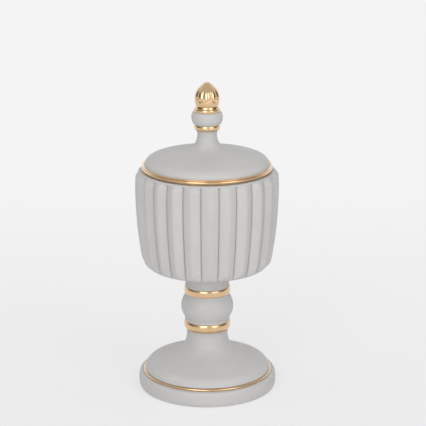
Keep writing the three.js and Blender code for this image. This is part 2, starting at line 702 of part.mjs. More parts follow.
// How deep the valleys between the acorn's lobes are at a height
function lobeDepthAt(height) {
  const capBase = ACORN_HEIGHT - ACORN_CAP_HEIGHT;
  const rise = THREE.MathUtils.smoothstep(height, ACORN_CUP_HEIGHT, ACORN_CUP_HEIGHT + 3);
  const fall = 1 - THREE.MathUtils.smoothstep(height, ACORN_WIDEST_HEIGHT, capBase);
  return ACORN_LOBE_DEPTH * rise * fall;
}

// The acorn: lobed above a plain cup, blunt at the tip, with a blind hole for the stud
function makeAcorn() {
  const capBase = ACORN_HEIGHT - ACORN_CAP_HEIGHT;
  const upperRise = capBase - ACORN_WIDEST_HEIGHT;
  const outside = new THREE.Path();
  outside.moveTo(ACORN_FOOT_RADIUS, 0);
  outside.quadraticCurveTo(
    ACORN_RADIUS,
    ACORN_WIDEST_HEIGHT * 0.5,
    ACORN_RADIUS,
    ACORN_WIDEST_HEIGHT,
  );
  outside.bezierCurveTo(
    ACORN_RADIUS,
    ACORN_WIDEST_HEIGHT + upperRise * 0.56,
    ACORN_CAP_RADIUS + 4.5,
    capBase - upperRise * 0.25,
    ACORN_CAP_RADIUS,
    capBase,
  );
  outside.quadraticCurveTo(ACORN_CAP_RADIUS * 0.55, ACORN_HEIGHT, 0, ACORN_HEIGHT);
  const holeTop = STUD_GRIP + SPIGOT_CLEARANCE;
  const hole = [
    new THREE.Vector2(0, holeTop),
    new THREE.Vector2(studBore, holeTop),
    new THREE.Vector2(studBore, 0),
  ];
  const lobed = outside.getPoints(CURVE_STEPS);
  const steps = 4 * ACORN_LOBES;
  return turnedWithRelief([...hole, ...lobed], steps, -Math.PI / 2, (point, step) => {
    const acrossLobe = Math.cos((step / steps) * ACORN_LOBES * 2 * Math.PI);
    return lobed.includes(point) ? (lobeDepthAt(point.y) * (1 - acrossLobe)) / 2 : 0;
  });
}

const jar = new THREE.Group();

// Adds one named piece to the jar, standing at a level above the resting plane
function addPiece(name, geometry, finish, level) {
  const mesh = new THREE.Mesh(geometry, new THREE.MeshStandardMaterial(finish));
  mesh.name = name;
  mesh.position.z = level;
  jar.add(mesh);
}

// The jar's own stack
addPiece("felt_ring", makeFeltRing(), felt, 0);
addPiece("foot", makeFoot(), grey, footLevel);
addPiece("foot_gilt_ring", makeFootGiltRing(), gilt, footLevel + FOOT_RIM_HEIGHT);
addPiece("lower_collar", makeLowerCollar(), gilt, lowerCollarLevel);
addPiece("knop", makeKnop(), grey, knopLevel);
addPiece("upper_collar", makeUpperCollar(), gilt, upperCollarLevel);
addPiece("bowl", makeBowl(), grey, bowlLevel);

// Adds a gasket, a washer and a nut on a rod, pressed against a face from above or from below
function addClamp(prefix, faceLevel, direction, rodRadius, gasket, washer, nut) {
  const pieces = [
    ["gasket", rubber, gasket.height, () => {
      return flatRing(rodRadius + BORE_CLEARANCE, gasket.radius, gasket.height, HARDWARE_STEPS);
    }],
    ["washer", steel, washer.height, () => {
      return flatRing(rodRadius + BORE_CLEARANCE, washer.radius, washer.height, HARDWARE_STEPS);
    }],
    ["nut", steel, nut.height, () => hexNut(nut, rodRadius + THREAD_CLEARANCE)],
  ];
  let face = faceLevel;
  pieces.forEach(([kind, finish, height, make]) => {
    const level = direction > 0 ? face : face - height;
    addPiece(`${prefix}_${kind}`, make(), finish, level);
    face += direction * height;
  });
  return face;
}

// The tie rod, clamped in the bowl and in the foot
const rodTop =
  addClamp("bowl", bowlLevel + bowlFloorHeight, 1, ROD_RADIUS, ROD_GASKET, ROD_WASHER, ROD_NUT) +
  ROD_PROUD;
const rodBottom =
  addClamp("foot", footLevel + FOOT_SEAT_HEIGHT, -1, ROD_RADIUS, ROD_GASKET, ROD_WASHER, ROD_NUT) -
  ROD_PROUD;
addPiece("tie_rod", bar(ROD_RADIUS, rodTop - rodBottom), steel, rodBottom);

// The lid's own stack
addPiece("lid", makeLid(), grey, lidLevel);
addPiece("lid_gilt_band", makeLidGiltBand(), gilt, lidLevel);
addPiece("finial_collar", makeFinialCollar(), gilt, finialCollarLevel);
addPiece("finial_bead", makeFinialBead(), grey, beadLevel);
addPiece("acorn_ring", makeAcornRing(), gilt, acornRingLevel);
addPiece("acorn", makeAcorn(), gilt, acornLevel);

// The finial's stud, screwed into the acorn and clamped under the lid
const studBottom =
  addClamp("lid", lidLevel + LID_SEAT_HEIGHT, -1, STUD_RADIUS, STUD_GASKET, STUD_WASHER, STUD_NUT) -
  STUD_PROUD;
addPiece("finial_stud", bar(STUD_RADIUS, acornLevel + STUD_GRIP - studBottom), steel, studBottom);

export default jar;
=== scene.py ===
import math

import bmesh
import bpy
from mathutils import Matrix, Vector
from mathutils.geometry import interpolate_bezier


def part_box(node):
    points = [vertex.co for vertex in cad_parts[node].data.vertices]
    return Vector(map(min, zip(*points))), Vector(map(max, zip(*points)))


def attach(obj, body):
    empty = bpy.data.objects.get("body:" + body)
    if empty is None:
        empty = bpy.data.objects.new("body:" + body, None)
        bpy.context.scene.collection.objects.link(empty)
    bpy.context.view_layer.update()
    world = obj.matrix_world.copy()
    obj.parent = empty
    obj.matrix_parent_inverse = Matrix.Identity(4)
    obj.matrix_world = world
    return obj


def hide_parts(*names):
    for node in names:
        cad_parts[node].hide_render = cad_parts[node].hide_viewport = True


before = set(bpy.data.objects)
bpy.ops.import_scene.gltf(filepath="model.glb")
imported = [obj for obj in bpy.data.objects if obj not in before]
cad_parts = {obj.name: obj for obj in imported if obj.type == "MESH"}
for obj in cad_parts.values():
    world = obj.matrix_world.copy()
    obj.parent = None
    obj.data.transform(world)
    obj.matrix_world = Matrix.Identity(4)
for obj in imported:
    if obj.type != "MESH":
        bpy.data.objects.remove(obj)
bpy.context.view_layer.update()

# A fluted urn jar on a domed foot, with a lift-off lid and an acorn finial.
# Outlines are written as (radius, height) in millimetres, counted up from the foot of their own piece.
MM = 0.001

# Steps round the widest pieces, the stem and the hardware, and points to a curved stretch
WIDE_STEPS = 192
STEM_STEPS = 128
HARDWARE_STEPS = 72
CURVE_STEPS = 10
SMOOTH_ANGLE = math.radians(32)  # edges that turn by more look sharp
CORNER_ANGLE = math.radians(40)  # edges that turn by more are rounded over
WELD_DISTANCE = 0.001 * MM

FRONT = math.radians(-90)

# Bores, and the spigots and sockets that line up the pieces of the stack
ROD_BORE = 3.5
STUD_BORE = 2.5
SPIGOT = (12, 4)  # radius and length
SMALL_SPIGOT = (6, 2)
SPIGOT_CLEARANCE = 0.3


def part_way(first, last, share):
    """The value at a share of the way from one to another."""
    return first + (last - first) * share


def measured(node):
    """Foot, height and outer radius of a CAD node, in millimetres."""
    low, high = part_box(node)
    return low[2] / MM, (high[2] - low[2]) / MM, high[1] / MM


def between_spigots(node, spigot):
    """Foot, height and outer radius of a collar without the spigots at its two ends."""
    foot, height, radius = measured(node)
    return foot + spigot[1], height - 2 * spigot[1], radius


def place_on(vert, foot):
    """Radius of a vertex and its height over a piece's foot, in millimetres."""
    return math.hypot(vert.co.x, vert.co.y) / MM, vert.co.z / MM - foot


# Outlines

def curve(start, pull, end, other_pull=None, steps=CURVE_STEPS):
    """A smooth stretch with one or two pulls, without its first point."""
    if other_pull is None:
        pulls = [Vector(corner).lerp(Vector(pull), 2 / 3) for corner in (start, end)]
    else:
        pulls = [Vector(pull), Vector(other_pull)]
    points = interpolate_bezier(Vector(start), *pulls, Vector(end), steps + 1)
    return [(point.x, point.y) for point in points[1:]]


def swell(radius, low, high, reach, steps=CURVE_STEPS):
    """A half-round swelling from a low to a high edge, with both of its ends."""
    middle = (low + high) / 2
    turns = [math.pi * (step / (2 * steps) - 0.5) for step in range(2 * steps + 1)]
    return [
        (radius + reach * math.cos(turn), middle + (high - low) / 2 * math.sin(turn))
        for turn in turns
    ]


def socket_below(bore, spigot):
    """From the bore round a socket that opens downwards."""
    radius, depth = spigot[0] + SPIGOT_CLEARANCE, spigot[1] + SPIGOT_CLEARANCE
    return [(bore, depth), (radius, depth), (radius, 0)]


def spigot_below(bore, spigot):
    """From the bore round a spigot that points down."""
    return [(bore, -spigot[1]), (spigot[0], -spigot[1]), (spigot[0], 0)]


def socket_above(bore, spigot, height):
    """Into a socket that opens upwards, and in to the bore."""
    radius, floor = spigot[0] + SPIGOT_CLEARANCE, height - spigot[1] - SPIGOT_CLEARANCE
    return [(radius, height), (radius, floor), (bore, floor)]


def spigot_above(bore, spigot, height):
    """Up round a spigot, and in to the bore."""
    return [(spigot[0], height), (spigot[0], height + spigot[1]), (bore, height + spigot[1])]


# Turning and finishing pieces

def spun(outline, foot, steps=WIDE_STEPS, closed=True):
    """A bmesh turned about the jar's axis from an outline that stands at a height."""
    mesh = bmesh.new()
    points = [mesh.verts.new((radius * MM, 0, (foot + height) * MM)) for radius, height in outline]
    following = points[1:] + points[:1] if closed else points[1:]
    wires = [mesh.edges.new(pair) for pair in zip(points, following)]
    bmesh.ops.spin(
        mesh, geom=points + wires, cent=(0, 0, 0), axis=(0, 0, 1), dvec=(0, 0, 0),
        angle=2 * math.pi, steps=steps, use_merge=True,
    )
    bmesh.ops.remove_doubles(mesh, verts=mesh.verts, dist=WELD_DISTANCE)
    bmesh.ops.dissolve_degenerate(mesh, edges=mesh.edges, dist=WELD_DISTANCE)
    bmesh.ops.recalc_face_normals(mesh, faces=mesh.faces)
    mesh.normal_update()
    return mesh


def ease_corners(mesh, width):
    """Rounds over the corners of a turned form."""
    corners = [
        edge for edge in mesh.edges
        if len(edge.link_faces) == 2 and edge.calc_face_angle() > CORNER_ANGLE
    ]
    bmesh.ops.bevel(
        mesh, geom=corners, offset=width * MM, offset_type="OFFSET", segments=2, profile=0.5,
        affect="EDGES", clamp_overlap=True, material=-1,
    )


def finished(mesh, name, finish, body, node):
    """Makes a named piece of a bmesh, which stands for a CAD node on its body."""
    data = bpy.data.meshes.new(name)
    mesh.to_mesh(data)
    mesh.free()
    data.shade_smooth()
    data.set_sharp_from_angle(angle=SMOOTH_ANGLE)
    data.materials.append(finish)
    piece = bpy.data.objects.new(name, data)
    bpy.context.scene.collection.objects.link(piece)
    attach(piece, body)
    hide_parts(node)
    return piece


# Surface patterns for the materials, all in the jar's own metres

def srgb(red, green, blue):
    """A linear colour from screen values of 0 to 255."""
    def linear(value):
        share = value / 255
        return share / 12.92 if share <= 0.04045 else ((share + 0.055) / 1.055) ** 2.4
    return (linear(red), linear(green), linear(blue), 1)


def new_finish(name):
    """A fresh material with its nodes, links, shader and the place on the piece."""
    finish = bpy.data.materials.new(name)
    finish.use_nodes = True
    nodes, links = finish.node_tree.nodes, finish.node_tree.links
    place = nodes.new("ShaderNodeTexCoord").outputs["Object"]
    return finish, nodes, links, nodes["Principled BSDF"], place


def noise(nodes, links, place, per_metre, detail, roughness=0.55):
    """A cloudy pattern with a grain of so many patches to the metre."""
    pattern = nodes.new("ShaderNodeTexNoise")
    pattern.inputs["Scale"].default_value = per_metre
    pattern.inputs["Detail"].default_value = detail
    pattern.inputs["Roughness"].default_value = roughness
    links.new(place, pattern.inputs["Vector"])
    return pattern.outputs["Fac"]


def spread(nodes, links, value, low, high, to_low=0, to_high=1):
    """Stretches one range of a pattern over another."""
    step = nodes.new("ShaderNodeMapRange")
    limits = {"From Min": low, "From Max": high, "To Min": to_low, "To Max": to_high}
    for name, number in limits.items():
        step.inputs[name].default_value = number
    links.new(value, step.inputs["Value"])
    return step.outputs["Result"]


NOISE_RANGE = (0.3, 0.7)  # what most of a noise pattern lies between


def clouding(nodes, links, place, per_metre, detail, to_low=0, to_high=1):
    """Soft clouding between two values."""
    pattern = noise(nodes, links, place, per_metre, detail)
    return spread(nodes, links, pattern, *NOISE_RANGE, to_low, to_high)


def mixed(nodes, links, share, first, second):
    """A colour between two. Each may be a colour or a socket."""
    mix = nodes.new("ShaderNodeMix")
    mix.data_type = "RGBA"
    links.new(share, mix.inputs[0])
    for color, socket in ((first, mix.inputs[6]), (second, mix.inputs[7])):
        if isinstance(color, tuple):
            socket.default_value = color
        else:
            links.new(color, socket)
    return mix.outputs[2]


def relief(nodes, links, height, depth, strength, under=None):
    """A bump of a depth in metres, laid over another bump."""
    bump = nodes.new("ShaderNodeBump")
    bump.inputs["Distance"].default_value = depth
    bump.inputs["Strength"].default_value = strength
    links.new(height, bump.inputs["Height"])
    if under is not None:
        links.new(under, bump.inputs["Normal"])
    return bump.outputs["Normal"]


# Finishes

def make_grey_ceramic():
    """Pale grey ceramic: a matt painted skin with faint clouding, specks and a hand-made ripple, with
    painted shade darkening the grooves in the flute valleys.
    """
    finish, nodes, links, shader, place = new_finish("pale_grey_ceramic")
    clouds = clouding(nodes, links, place, per_metre=30, detail=5)
    skin = mixed(nodes, links, clouds, srgb(203, 202, 200), srgb(208, 207, 205))
    speck_noise = noise(nodes, links, place, per_metre=1100, detail=2, roughness=0.4)
    specks = spread(nodes, links, speck_noise, low=0.64, high=0.76, to_high=0.4)
    speckled = mixed(nodes, links, specks, skin, srgb(178, 175, 172))
    # Painted shade: the grooves in the flute valleys are darkened in colour, standing in for the shade
    # that gathers in them.
    groove = nodes.new("ShaderNodeAttribute")
    groove.attribute_name = "groove"
    painted_groove_shade = spread(nodes, links, groove.outputs["Fac"], low=0, high=1, to_high=0.75)
    groove_shaded_skin = mixed(nodes, links, painted_groove_shade, speckled, srgb(158, 154, 150))
    links.new(groove_shaded_skin, shader.inputs["Base Color"])
    rubbed = clouding(nodes, links, place, per_metre=70, detail=3, to_low=0.46, to_high=0.56)
    links.new(rubbed, shader.inputs["Roughness"])
    ripple_noise = noise(nodes, links, place, per_metre=160, detail=2)
    ripple = relief(nodes, links, ripple_noise, depth=0.0002, strength=0.3)
    grain_noise = noise(nodes, links, place, per_metre=1500, detail=3)
    grain = relief(nodes, links, grain_noise, depth=0.00005, strength=0.35, under=ripple)
    links.new(grain, shader.inputs["Normal"])
    return finish


def make_gilt():
    """Gilding over a cast form: warm, softly uneven and a little worn."""
    finish, nodes, links, shader, place = new_finish("gilding")
    shader.inputs["Metallic"].default_value = 1
    shader.inputs["Coat Weight"].default_value = 1
    shader.inputs["Coat Roughness"].default_value = 0.1
    clouds = clouding(nodes, links, place, per_metre=90, detail=4)
    leaf = mixed(nodes, links, clouds, srgb(226, 187, 139), srgb(234, 200, 155))
    wear_noise = noise(nodes, links, place, per_metre=1400, detail=3)
    wear = spread(nodes, links, wear_noise, low=0.62, high=0.74, to_high=0.5)
    worn = mixed(nodes, links, wear, leaf, srgb(204, 160, 110))
    links.new(worn, shader.inputs["Base Color"])
    rubbed = clouding(nodes, links, place, per_metre=380, detail=3, to_low=0.18, to_high=0.28)
    links.new(rubbed, shader.inputs["Roughness"])
    brush_noise = noise(nodes, links, place, per_metre=500, detail=3)
    brushed = relief(nodes, links, brush_noise, depth=0.00006, strength=0.4)
    links.new(brushed, shader.inputs["Normal"])
    return finish


def make_steel():
    """Zinc-plated steel of the hidden nuts, washers and rods."""
    finish, nodes, links, shader, place = new_finish("plated_steel")
    shader.inputs["Metallic"].default_value = 1
    clouds = clouding(nodes, links, place, per_metre=180, detail=4)
    color = mixed(nodes, links, clouds, srgb(172, 175, 180), srgb(200, 202, 205))
    links.new(color, shader.inputs["Base Color"])
    rubbed = clouding(nodes, links, place, per_metre=900, detail=3, to_low=0.26, to_high=0.45)
    links.new(rubbed, shader.inputs["Roughness"])
    grain_noise = noise(nodes, links, place, per_metre=1200, detail=2)
    grain = relief(nodes, links, grain_noise, depth=0.00003, strength=0.4)
    links.new(grain, shader.inputs["Normal"])
    return finish


def make_rubber():
    """Matt black rubber with a dusty bloom."""
    finish, nodes, links, shader, place = new_finish("black_rubber")
    bloom_noise = noise(nodes, links, place, per_metre=260, detail=5)
    bloom = spread(nodes, links, bloom_noise, low=0.35, high=0.75)
    color = mixed(nodes, links, bloom, srgb(32, 32, 33), srgb(54, 53, 52))
    links.new(color, shader.inputs["Base Color"])
    matt = spread(nodes, links, bloom, low=0, high=1, to_low=0.7, to_high=0.9)
    links.new(matt, shader.inputs["Roughness"])
    grain_noise = noise(nodes, links, place, per_metre=1600, detail=2)
    grain = relief(nodes, links, grain_noise, depth=0.00005, strength=0.4)
    links.new(grain, shader.inputs["Normal"])
    return finish


def make_felt():
    """Dark grey pressed felt with matted fibres and a soft nap."""
    finish, nodes, links, shader, place = new_finish("grey_felt")
    matting_noise = noise(nodes, links, place, per_metre=1200, detail=6, roughness=0.7)
    matting = spread(nodes, links, matting_noise, *NOISE_RANGE)
    color = mixed(nodes, links, matting, srgb(66, 63, 60), srgb(106, 102, 98))
    links.new(color, shader.inputs["Base Color"])
    matt = spread(nodes, links, matting, low=0, high=1, to_low=0.88, to_high=0.98)
    links.new(matt, shader.inputs["Roughness"])
    shader.inputs["Sheen Weight"].default_value = 0.4
    shader.inputs["Sheen Roughness"].default_value = 0.5
    fibre_noise = noise(nodes, links, place, per_metre=2600, detail=4, roughness=0.7)
    fibres = relief(nodes, links, fibre_noise, depth=0.0003, strength=0.8)
    links.new(fibres, shader.inputs["Normal"])
    return finish


GREY = make_grey_ceramic()
GILT = make_gilt()
STEEL = make_steel()
RUBBER = make_rubber()
FELT = make_felt()


# The foot and what is glued to it

FOOT_RIM_HEIGHT = 15.7
FOOT_RIM_BULGE = 2.2
FOOT_GROOVE = 65.6  # radius in the groove for the gilt ring
FOOT_DOME_EDGE = 66.6
FOOT_DOME_BASE = 18.8
FOOT_SLOPE_START = (59, 28.1)  # where the dome's rounded edge turns into its straight slope
FOOT_SLOPE = math.tan(math.radians(20.6))
FOOT_SLOPE_RINGS = (50, 43)  # rings of points that keep the long slope's faces even
FOOT_FILLET = 37.5  # radius where the slope starts to sweep up into the neck
FOOT_NECK_FOOT = (23, 14.4)  # radius, and drop from the top of the neck
FOOT_NECK_WAIST = (21.6, 5.8)
FOOT_LIP = (23.2, 1.2)
FOOT_INSIDE = 58.1
FOOT_INSIDE_FILLET = 4
FOOT_ROOF_DROP = 8  # from the slope down to the underside
FOOT_SEAT_HEIGHT = 31.2  # the inner flat that takes the rod's lower washer
LIP_REACH = 0.5
FELT_WIDTH = 9
GLUE_GAP = 0.15  # inside the gilt ring


def foot_slope_at(radius):
    """Height of the foot's straight slope at a radius."""
    return FOOT_SLOPE_START[1] + (FOOT_SLOPE_START[0] - radius) * FOOT_SLOPE


def make_foot():
    """The domed foot: a rounded rim, a groove for the gilt ring, and a sweep up into a lipped neck."""
    foot, height, radius = measured("foot")
    slope_start, slope_base = FOOT_SLOPE_START
    neck_foot, neck_foot_height = FOOT_NECK_FOOT[0], height - FOOT_NECK_FOOT[1]
    waist, waist_height = FOOT_NECK_WAIST[0], height - FOOT_NECK_WAIST[1]
    lip, lip_base = FOOT_LIP[0], height - FOOT_LIP[1]
    sweep_corner = neck_foot + 2.5
    seat_radius = slope_start - (FOOT_SEAT_HEIGHT + FOOT_ROOF_DROP - slope_base) / FOOT_SLOPE
    roof_edge = FOOT_INSIDE - FOOT_INSIDE_FILLET
    inner_roof = foot_slope_at(FOOT_INSIDE) - FOOT_ROOF_DROP
    outline = [(FOOT_INSIDE, 0), (radius - FOOT_RIM_BULGE, 0)]
    outline += swell(radius - FOOT_RIM_BULGE, 0, FOOT_RIM_HEIGHT, FOOT_RIM_BULGE)
    outline += [(FOOT_GROOVE, FOOT_RIM_HEIGHT), (FOOT_GROOVE, FOOT_DOME_BASE)]
    outline += [(FOOT_DOME_EDGE, FOOT_DOME_BASE)]
    outline += curve(outline[-1], (FOOT_DOME_EDGE - 1.6, slope_base - 2.1), FOOT_SLOPE_START)
    outline += [(at, foot_slope_at(at)) for at in (*FOOT_SLOPE_RINGS, FOOT_FILLET)]
    sweep_pull = (sweep_corner, foot_slope_at(sweep_corner))
    outline += curve(outline[-1], sweep_pull, (neck_foot, neck_foot_height))
    waist_pull = (waist, part_way(neck_foot_height, waist_height, 0.67))
    outline += curve(outline[-1], waist_pull, (waist, waist_height))
    lip_pull = (waist, part_way(waist_height, lip_base, 0.59))
    outline += curve(outline[-1], lip_pull, (lip - LIP_REACH - 0.1, lip_base))
    outline += swell(lip - LIP_REACH, lip_base, height, LIP_REACH, 4)
    outline += socket_above(ROD_BORE, SPIGOT, height)
    outline += [(ROD_BORE, FOOT_SEAT_HEIGHT), (seat_radius, FOOT_SEAT_HEIGHT)]
    outline += [(roof_edge, foot_slope_at(roof_edge) - FOOT_ROOF_DROP)]
    inner_corner = (FOOT_INSIDE, inner_roof)
    outline += curve(outline[-1], inner_corner, (FOOT_INSIDE, inner_roof - FOOT_INSIDE_FILLET))
    mesh = spun(outline, foot)
    ease_corners(mesh, width=0.3)
    return finished(mesh, "domed_foot", GREY, "jar", "foot")


def make_foot_gilt_ring():
    """The thin half-round gilt ring in the groove between the foot's rim and its dome."""
    foot, height, radius = measured("foot_gilt_ring")
    inside = FOOT_GROOVE + GLUE_GAP
    reach = height / 2
    outline = [(inside, 0)] + swell(radius - reach, 0, height, reach) + [(inside, height)]
    mesh = spun(outline, foot)
    return finished(mesh, "foot_ring_gilding", GILT, "jar", "foot_gilt_ring")


def make_felt_ring():
    """The felt ring under the rim."""
    foot, height, radius = measured("felt_ring")
    inside = radius - FELT_WIDTH
    outline = [(inside, 0), (radius, 0), (radius, height), (inside, height)]
    mesh = spun(outline, foot)
    ease_corners(mesh, width=0.15)
    return finished(mesh, "felt_pad", FELT, "jar", "felt_ring")


# The stem

def make_lower_collar():
    """The gilt collar on the foot's neck."""
    foot, height, radius = between_spigots("lower_collar", SPIGOT)
    foot_radius, top_radius = 23.5, 23.7
    fullest = height / 2
    outline = spigot_below(ROD_BORE, SPIGOT) + [(foot_radius, 0)]
    outline += curve(outline[-1], (radius - 0.4, fullest * 0.36), (radius, fullest))
    outline += curve(outline[-1], (radius, height - 1.2), (top_radius, height))
    outline += spigot_above(ROD_BORE, SPIGOT, height)
    mesh = spun(outline, foot, STEM_STEPS)
    ease_corners(mesh, width=0.2)
    return finished(mesh, "lower_gilt_collar", GILT, "jar", "lower_collar")


def make_knop():
    """The swelling grey knop, with a fine rounded lip at each end."""
    foot, height, radius = measured("knop")
    foot_radius, top_radius = 23.6, 23.9
    lip, widest = 2.1, 16.2
    crease, lip_gap = 0.5, 0.3
    top_lip = height - lip
    fullness = radius - foot_radius
    outline = socket_below(ROD_BORE, SPIGOT)
    outline += swell(foot_radius - crease, 0, lip - lip_gap, crease + 0.1, 5)
    outline += [(foot_radius - crease, lip)]
    foot_pull = (foot_radius + fullness * 0.25, part_way(lip, widest, 0.22))
    rising_pull = (radius, part_way(lip, widest, 0.52))
    outline += curve(outline[-1], foot_pull, (radius, widest), rising_pull, 16)
    falling_pull = (radius, part_way(widest, top_lip, 0.31))
    top_pull = (top_radius + fullness * 0.46, part_way(widest, top_lip, 0.73))
    outline += curve(outline[-1], falling_pull, (top_radius - crease, top_lip), top_pull, 16)
    outline += swell(top_radius - crease, top_lip + lip_gap, height, crease + 0.1, 5)
    outline += socket_above(ROD_BORE, SPIGOT, height)
    mesh = spun(outline, foot, STEM_STEPS)
    return finished(mesh, "stem_knop", GREY, "jar", "knop")


def make_upper_collar():
    """The half-round gilt collar under the bowl."""
    foot, height, radius = between_spigots("upper_collar", SPIGOT)
    end = 23.6
    outline = spigot_below(ROD_BORE, SPIGOT) + swell(end, 0, height, radius - end)
    outline += spigot_above(ROD_BORE, SPIGOT, height)
    mesh = spun(outline, foot, STEM_STEPS)
    ease_corners(mesh, width=0.2)
    return finished(mesh, "upper_gilt_collar", GILT, "jar", "upper_collar")


# The bowl

FLUTE_COUNT = 24
FLUTE_STEPS = 16  # steps of the turning to each flute
FLUTE_DEPTH = 4
FLUTE_TURN = math.radians(2.5)  # from the front to the first ridge
FLUTE_TOP = (0.5, 3.5)  # the flutes end this far under the rim, and are at full depth this far under it
FLUTE_FOOT = (22.9, 29.9)  # heights where the flutes start, and where they are at full depth
GROOVE_FOOT = (20.9, 24)  # the same for the groove in each valley
RIDGE_SOFTNESS = 0.14  # how round a ridge is, as a share of a flute's half width
GROOVE_SHARE = 0.075  # share of a flute's half width that the groove in each valley takes
GROOVE_DEPTH = 0.7
MOUTH_INSET = 13.2  # from the bowl's fullest in to its mouth
WALL_START = 50  # what stands nearer the axis has no flutes
BOWL_FLOOR_RINGS = (30, 16)  # rings of points that keep the floor's faces even


def smooth_share(value, low, high):
    """0 at low, 1 at high, with eased ends."""
    share = min(max((value - low) / (high - low), 0), 1)
    return share * share * (3 - 2 * share)


def flute_profile(across):
    """Share of a flute's depth, from the ridge at 0 to the valley at 1: flat with a soft ridge."""
    soft = RIDGE_SOFTNESS
    return (math.hypot(across, soft) - soft) / (math.hypot(1, soft) - soft)


def crowd_steps(mesh, count, turn):
    """Moves the steps round a form so that they crowd at its ridges and in its valleys."""
    pitch = 2 * math.pi / count
    for vert in mesh.verts:
        radius = math.hypot(vert.co.x, vert.co.y)
        if radius < MM:
            continue
        angle = math.atan2(vert.co.y, vert.co.x)
        place = (angle - turn) / pitch
        ridge = round(place)
        across = 2 * (place - ridge)
        eased = math.copysign((1 - math.cos(math.pi * min(abs(across), 1))) / 2, across)
        angle = turn + (ridge + eased / 2) * pitch
        vert.co.x, vert.co.y = radius * math.cos(angle), radius * math.sin(angle)


def across_ridge(vert, count, turn):
    """0 on a ridge and 1 in a valley."""
    place = (math.atan2(vert.co.y, vert.co.x) - turn) * count / (2 * math.pi)
    return 2 * abs(place - round(place))


def bowl_outline(height, radius):
    """The bowl before it is fluted: a short neck, a rounded turn, a long side and a rounded rim."""
    neck_end, waist, underside = 23.5, 22.8, 25.5
    neck_height, waist_height = 14.8, 8.1
    turn_radius = radius - 6.3
    turn_start = turn_radius - 12.2
    turn_base, turn_top = neck_height + 6.7, neck_height + 17.9
    fullest, shoulder = height - 17.8, height - 7.8
    rim, shoulder_radius = radius - 5.6, radius - 0.4
    mouth, mouth_chamfer = radius - MOUTH_INSET, 0.8
    floor = neck_height + 12.5
    inner_foot, floor_edge = turn_radius - 10, turn_radius - 21
    fillet_top = floor + 11
    outline = [(neck_end, 0)]
    outline += curve(outline[-1], (waist, neck_height * 0.25), (waist, waist_height))
    outline += curve(outline[-1], (waist, neck_height * 0.93), (underside, neck_height))
    underside_pull = (part_way(underside, turn_start, 0.5), neck_height + 2.56)
    outline += curve(outline[-1], underside_pull, (turn_start, turn_base), steps=16)
    turn_pull = (turn_radius - 2.44, turn_base + 2.05)
    outline += curve(outline[-1], turn_pull, (turn_radius, turn_top), steps=14)
    side_pull = (turn_radius + 1.83, part_way(turn_top, fullest, 0.13))
    fullest_pull = (radius, part_way(turn_top, fullest, 0.49))
    outline += curve(outline[-1], side_pull, (radius, fullest), fullest_pull, steps=24)
    shoulder_pull = (radius, part_way(fullest, shoulder, 0.5))
    outline += curve(outline[-1], shoulder_pull, (shoulder_radius, shoulder))
    outline += curve(outline[-1], (radius - 0.7, height - 3), (rim, height), steps=12)
    outline += [(mouth + mouth_chamfer, height), (mouth, height - mouth_chamfer), (mouth, fullest)]
    inner_pull = (mouth, part_way(fillet_top, fullest, 0.5))
    inner_foot_pull = (inner_foot + 0.6, part_way(fillet_top, fullest, 0.15))
    outline += curve(outline[-1], inner_pull, (inner_foot, fillet_top), inner_foot_pull, steps=16)
    outline += curve(outline[-1], (inner_foot - 0.6, floor), (floor_edge, floor))
    outline += [(ring, floor) for ring in (*BOWL_FLOOR_RINGS, ROD_BORE)]
    return outline + socket_below(ROD_BORE, SPIGOT)


def make_bowl():
    """The bowl: ridges with flat sides and crisp grooved valleys outside, smooth inside."""
    foot, height, radius = measured("bowl")
    first_ridge = FRONT + FLUTE_TURN
    mesh = spun(bowl_outline(height, radius), foot, FLUTE_COUNT * FLUTE_STEPS)
    ease_corners(mesh, width=0.3)
    turned = Matrix.Rotation(FLUTE_TURN, 3, "Z")
    bmesh.ops.rotate(mesh, verts=mesh.verts, cent=(0, 0, 0), matrix=turned)
    mesh.normal_update()
    crowd_steps(mesh, FLUTE_COUNT, first_ridge)
    inside = radius - MOUTH_INSET + 0.1
    groove_shade_layer = mesh.verts.layers.float.new("groove")
    for vert in mesh.verts:
        vert_radius, level = place_on(vert, foot)
        on_wall = vert_radius > inside or level < GROOVE_FOOT[1]
        if not on_wall or vert_radius < WALL_START:
            continue
        across = across_ridge(vert, FLUTE_COUNT, first_ridge)
        top_fade = smooth_share(height - level, *FLUTE_TOP)
        fade = top_fade * smooth_share(level, *FLUTE_FOOT)
        groove_fade = top_fade * smooth_share(level, *GROOVE_FOOT)
        groove = max(0, 1 - (1 - across) / GROOVE_SHARE) * groove_fade
        depth = FLUTE_DEPTH * fade * flute_profile(across) + GROOVE_DEPTH * groove
        # The groove share is stored here as well; the ceramic finish uses it to paint shade into each
        # valley.
        vert[groove_shade_layer] = groove
        vert.co.xy *= 1 - depth / vert_radius
    bmesh.ops.recalc_face_normals(mesh, faces=mesh.faces)
    return finished(mesh, "fluted_bowl", GREY, "jar", "bowl")


# The lid

LID_FLANGE_DEPTH = 11
LID_SLOPE = math.tan(math.radians(24))
LID_ROOF_SLOPE = math.tan(math.radians(13.4))


